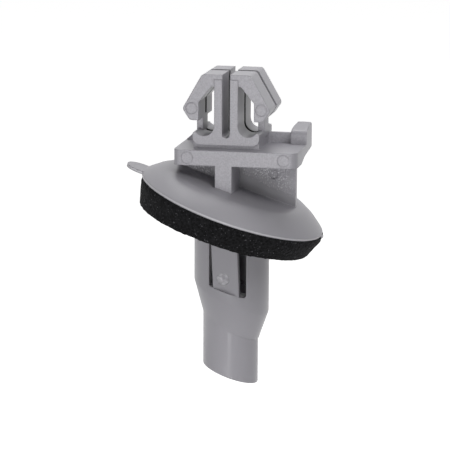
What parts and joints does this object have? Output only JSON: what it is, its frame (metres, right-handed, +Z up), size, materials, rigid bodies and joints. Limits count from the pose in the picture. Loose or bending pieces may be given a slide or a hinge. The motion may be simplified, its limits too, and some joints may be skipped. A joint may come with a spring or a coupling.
{
  "type": "molding clip",
  "caption": "Push-in clip with a winged arrow head, a platform, a leaning sealing flange with a foam ring, and a hollow shank with spring tongues.",
  "frame": {"origin": "on the shank axis, where the plane of the foam ring's underside crosses it", "axes": "+Z up along the shank towards the head, -Y towards the front bar of the platform, +X towards the low side of the flange"},
  "size_m": [0.0263, 0.025, 0.0416],
  "materials": {
    "grey_plastic": "fine satin texture",
    "black_foam": "open-cell foam"
  },
  "bodies": {
    "root": {"clip_body": "grey_plastic", "foam_seal": "black_foam"}
  },
  "joints": []
}
